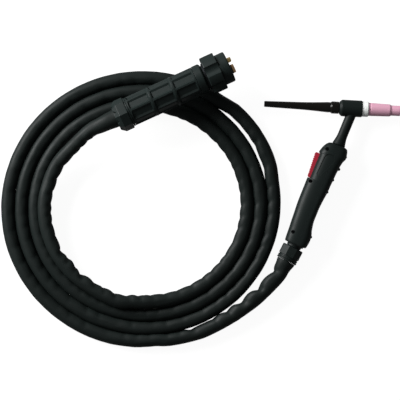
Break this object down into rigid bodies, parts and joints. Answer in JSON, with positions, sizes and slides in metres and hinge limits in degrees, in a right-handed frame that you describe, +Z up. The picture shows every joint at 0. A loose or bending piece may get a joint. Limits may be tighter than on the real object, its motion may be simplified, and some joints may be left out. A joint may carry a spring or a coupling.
{
  "type": "tig welding torch",
  "caption": "Gas-cooled welding torch: head with pink ceramic cup and long back cap, switch handle on a ball joint, coiled sheathed hose and multi-pole machine connector.",
  "frame": {"origin": "On the surface that the torch lies on, below the middle of the torch itself (head, cup, cap, handle and ball joint), not counting hose and connector.", "axes": "+Z is up from that surface; +X runs nearly along the electrode towards its point; +Y runs from the handle up to the head."},
  "size_m": [0.5913, 0.4348, 0.0744],
  "materials": {
    "cover_rubber": "satin",
    "grip_plastic": "satin",
    "cap_plastic": "gloss",
    "cup_ceramic": "matte",
    "white_gasket": "satin",
    "tungsten": "satin",
    "brass": "satin",
    "copper": "satin",
    "trigger_plastic": "satin",
    "steel": "satin",
    "black_steel": "matte",
    "switch_plastic": "matte",
    "wire_sleeve": "satin",
    "cable_rubber": "matte",
    "seat_plastic": "satin",
    "seal_rubber": "matte",
    "sheath_rubber": "satin",
    "connector_plastic": "satin"
  },
  "bodies": {
    "hose_and_connector": {"swivel_ball": "grip_plastic", "clamp_collar": "grip_plastic", "sheath_clamp": "grip_plastic", "sheath_boot": "sheath_rubber", "power_cable_stub": "cable_rubber", "hose_lead": "sheath_rubber", "hose_coil": "sheath_rubber", "hose_tail": "sheath_rubber", "gland_nut": "connector_plastic", "gland_seal": "seal_rubber", "grip_end_ring": "connector_plastic", "connector_grip": "connector_plastic", "front_collar": "connector_plastic", "nut_retainer": "steel", "connector_nose": "connector_plastic", "central_plug": "copper", "plug_seal": "seal_rubber", "control_pins": "brass", "cable_ferrule": "brass", "power_cable_tail": "cable_rubber"},
    "ball_ring": {"ball_seat": "seat_plastic"},
    "torch": {"head_cover": "cover_rubber", "head_core": "brass", "neck_tube": "copper", "collet_body": "copper", "collet": "copper", "cup_gasket": "white_gasket", "handle_upper": "grip_plastic", "handle_lower": "grip_plastic", "handle_screws": "black_steel", "trigger_pin": "steel", "switch_body": "switch_plastic", "switch_wires": "wire_sleeve", "power_coupling": "brass", "power_cable": "cable_rubber"},
    "trigger_lever": {"trigger": "trigger_plastic"},
    "plunger": {"switch_plunger": "steel"},
    "cup": {"ceramic_cup": "cup_ceramic"},
    "electrode": {"tungsten_electrode": "tungsten"},
    "cap_seal": {"cap_o_ring": "seal_rubber"},
    "cap": {"back_cap": "cap_plastic"},
    "locking_nut": {"coupling_nut": "connector_plastic"}
  },
  "joints": [
    {"name": "ball_twist", "type": "hinge", "parent": "hose_and_connector", "child": "ball_ring", "pos_m": [-0.05485, -0.09129, 0.017], "axis": [-0.4617, -0.887, 0], "range_deg": [-45, 45]},
    {"name": "ball_bend", "type": "hinge", "parent": "ball_ring", "child": "torch", "pos_m": [-0.05485, -0.09129, 0.017], "axis": [0, 0, 1], "range_deg": [-16, 6]},
    {"name": "trigger_press", "type": "hinge", "parent": "torch", "child": "trigger_lever", "pos_m": [-0.02891, 0.0087, 0.017], "axis": [0, 0, -1], "range_deg": [0, 5.5], "stiffness_Nm_per_rad": 0.6, "springref_deg": -1.15},
    {"name": "switch_press", "type": "slide", "parent": "torch", "child": "plunger", "axis": [0.9239, -0.3827, 0], "range_m": [0, 0.0017]},
    {"name": "cap_travel", "type": "slide", "parent": "torch", "child": "cap_seal", "axis": [-0.9986, 0.0523, 0], "range_m": [0, 0.008]},
    {"name": "cap_unscrew", "type": "hinge", "parent": "cap_seal", "child": "cap", "pos_m": [-0.04939, 0.11059, 0.017], "axis": [-0.9986, 0.0523, 0], "range_deg": [0, 2880]},
    {"name": "cup_unscrew", "type": "hinge", "parent": "torch", "child": "cup", "pos_m": [0.07544, 0.10404, 0.017], "axis": [0.9986, -0.0523, 0], "range_deg": [0, 1440]},
    {"name": "electrode_slide", "type": "slide", "parent": "torch", "child": "electrode", "axis": [0.9986, -0.0523, 0], "range_m": [-0.008, 0.012]},
    {"name": "nut_turn", "type": "hinge", "parent": "hose_and_connector", "child": "locking_nut", "pos_m": [-0.17683, 0.15643, 0.0468], "axis": [0.9092, 0.4163, 0], "continuous": true}
  ],
  "couplings": [
    {"joint": "switch_press", "follows": "trigger_press", "m_per_rad": 0.017},
    {"joint": "cap_unscrew", "follows": "cap_travel", "rad_per_m": 6283.2}
  ]
}
